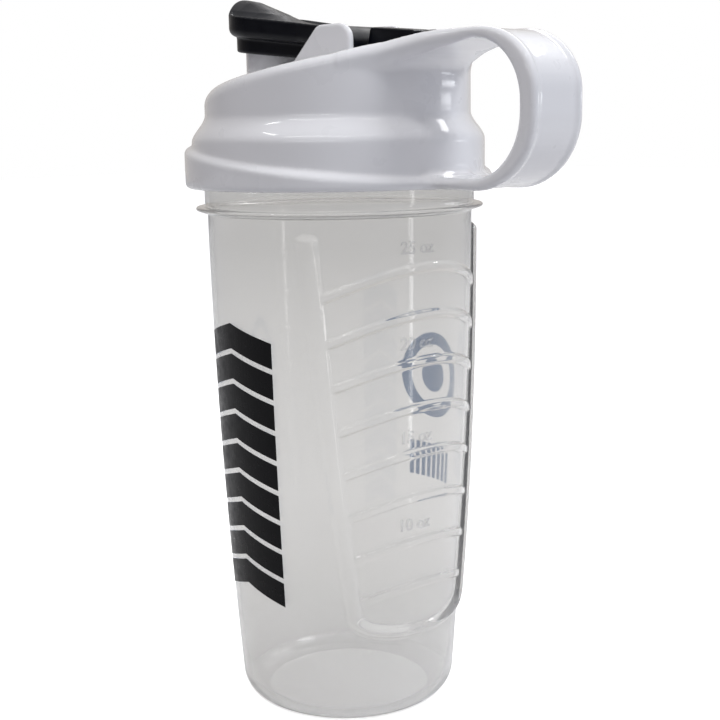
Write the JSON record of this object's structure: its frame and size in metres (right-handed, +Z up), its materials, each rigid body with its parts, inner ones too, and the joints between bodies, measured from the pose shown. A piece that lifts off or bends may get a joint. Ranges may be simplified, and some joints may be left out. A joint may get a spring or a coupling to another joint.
{
  "type": "protein shaker bottle",
  "caption": "Tall tapered see-through shaker cup with a ribbed grip panel, and a white screw-on lid with a carry loop, a spout and a black flip cap hinged between two ears.",
  "frame": {"origin": "centre of the flat underside of the cup's base", "axes": "+Z up along the cup's axis; +X towards the carry loop; the spout is on the -X side; +Y completes a right-handed frame"},
  "size_m": [0.1411, 0.1022, 0.2397],
  "materials": {
    "frosted_cup": "frosted translucent polypropylene with a soft sheen",
    "white_lid": "glossy white moulded polypropylene",
    "black_cap": "satin black moulded plastic",
    "silicone": "pale translucent silicone",
    "grid": "white moulded polypropylene",
    "print": "screen print, smooth and slightly glossy",
    "steel": "drawn stainless wire"
  },
  "bodies": {
    "cup": {"cup": "frosted_cup"},
    "gasket": {"lid_gasket": "silicone"},
    "lid": {"lid": "white_lid", "mixing_grid": "grid", "hinge_pin": "steel", "hinge_cover": "black_cap"},
    "flip_cap": {"flip_cap": "black_cap", "spout_seal": "silicone"}
  },
  "joints": [
    {"name": "lid_lift", "type": "slide", "parent": "cup", "child": "gasket", "axis": [0, 0, 1], "range_m": [0, 0.00751]},
    {"name": "lid_turn", "type": "hinge", "parent": "gasket", "child": "lid", "pos_m": [0, 0, 0.19], "axis": [0, 0, 1], "range_deg": [0, 450]},
    {"name": "cap_flip", "type": "hinge", "parent": "lid", "child": "flip_cap", "pos_m": [0.011, 0, 0.2202], "axis": [0, 1, 0], "range_deg": [0, 95]}
  ],
  "couplings": [
    {"joint": "lid_lift", "follows": "lid_turn", "m_per_rad": 0.00095493}
  ]
}
